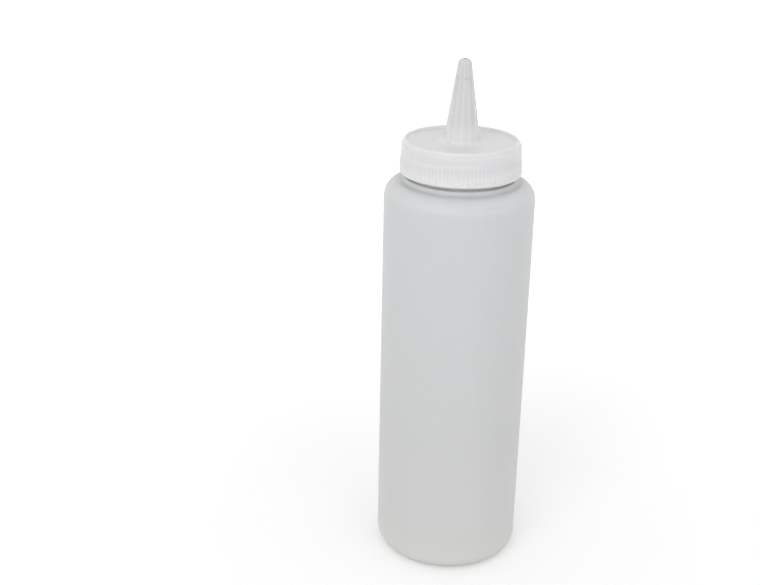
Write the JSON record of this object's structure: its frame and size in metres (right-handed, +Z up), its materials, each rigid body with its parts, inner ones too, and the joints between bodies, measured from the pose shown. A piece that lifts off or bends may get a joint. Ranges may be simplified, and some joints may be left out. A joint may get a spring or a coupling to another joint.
{
  "type": "condiment squeeze bottle",
  "caption": "Round translucent squeeze bottle with a ribbed screw cap that turns and lifts on its thread, and a long tapered fluted nozzle for sauces.",
  "frame": {"origin": "centre of the ring under the base, on the surface that the bottle stands on", "axes": "+Z up along the bottle's axis, towards the nozzle's tip; +X towards the lower end of the neck's thread"},
  "size_m": [0.0508, 0.0508, 0.179],
  "materials": {
    "bottle_plastic": "translucent natural, satin",
    "cap_plastic": "translucent natural, satin",
    "seal_foam": "soft white, matte"
  },
  "bodies": {
    "bottle": {"bottle": "bottle_plastic"},
    "seal": {"sealing_ring": "seal_foam"},
    "cap": {"screw_cap": "cap_plastic"}
  },
  "joints": [
    {"name": "cap_lift", "type": "slide", "parent": "bottle", "child": "seal", "axis": [0, 0, 1], "range_m": [0, 0.0128]},
    {"name": "cap_turn", "type": "hinge", "parent": "seal", "child": "cap", "pos_m": [0, 0, 0.1455], "axis": [0, 0, 1], "range_deg": [0, 1080]}
  ],
  "couplings": [
    {"joint": "cap_lift", "follows": "cap_turn", "m_per_rad": 0.00067376}
  ]
}
